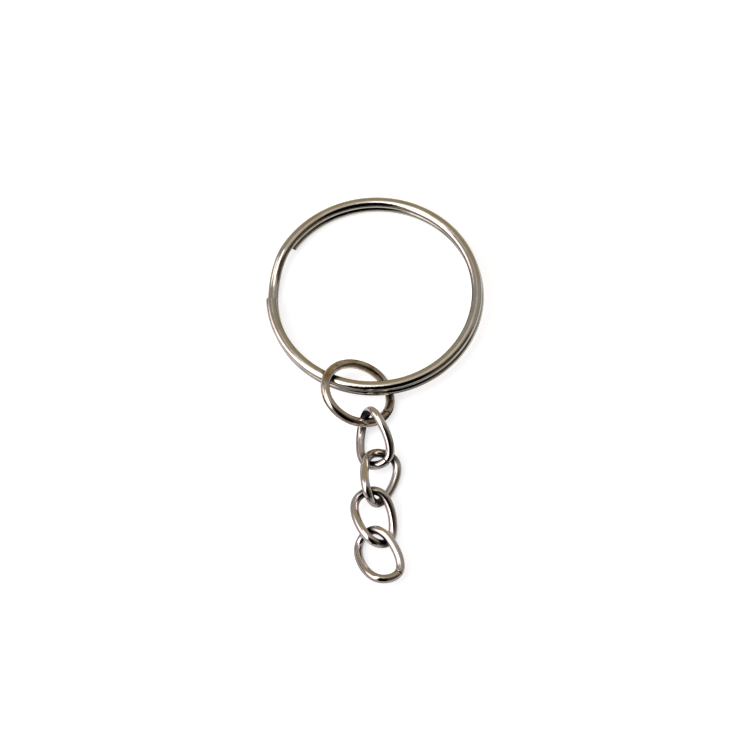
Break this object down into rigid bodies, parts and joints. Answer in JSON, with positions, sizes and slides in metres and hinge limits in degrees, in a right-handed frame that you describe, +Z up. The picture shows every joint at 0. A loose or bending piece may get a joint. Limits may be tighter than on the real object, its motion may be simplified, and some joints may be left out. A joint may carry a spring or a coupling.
{
  "type": "split key ring",
  "caption": "Split ring for keys, wound from flat wire in nearly two turns, with a round jump ring and a short chain of twisted oval links that hook into each other.",
  "frame": {"origin": "middle of the bottom of the object's box, on the surface it lies on", "axes": "+Z up; the split ring is at the +Y end and the chain runs from it towards -Y; +X to the right"},
  "size_m": [0.025, 0.0478, 0.0047],
  "materials": {
    "split_ring_nickel": "bright nickel plate on spring steel wire",
    "jump_ring_nickel": "bright nickel plate on steel wire, slightly brown",
    "chain_nickel": "bright nickel plate on steel wire"
  },
  "bodies": {
    "split_ring": {"split_ring": "split_ring_nickel"},
    "jump_ring": {"jump_ring": "jump_ring_nickel"},
    "chain_link_1": {"chain_link_1": "chain_nickel"},
    "chain_link_2": {"chain_link_2": "chain_nickel"},
    "chain_link_3": {"chain_link_3": "chain_nickel"},
    "chain_link_4": {"chain_link_4": "chain_nickel"}
  },
  "joints": [
    {"name": "jump_ring_slides_round", "type": "hinge", "parent": "split_ring", "child": "jump_ring", "pos_m": [0, 0.01148, 0.0018], "axis": [-0.0436, 0.0483, 0.9979], "continuous": true},
    {"name": "link_1_swings", "type": "hinge", "parent": "jump_ring", "child": "chain_link_1", "pos_m": [-0.00064, -0.00431, 0.00191], "axis": [0.9397, 0, -0.342], "range_deg": [-60, 60]},
    {"name": "link_2_swings", "type": "hinge", "parent": "chain_link_1", "child": "chain_link_2", "pos_m": [0.00013, -0.00932, 0.00128], "axis": [0.7198, 0.262, 0.6428], "range_deg": [-60, 60]},
    {"name": "link_3_swings", "type": "hinge", "parent": "chain_link_2", "child": "chain_link_3", "pos_m": [-0.0006, -0.01278, 0.00209], "axis": [0.9397, -0.342, 0], "range_deg": [-45, 45]},
    {"name": "link_4_swings", "type": "hinge", "parent": "chain_link_3", "child": "chain_link_4", "pos_m": [-0.00066, -0.01745, 0.00145], "axis": [0.766, 0, 0.6428], "range_deg": [-60, 45]}
  ]
}
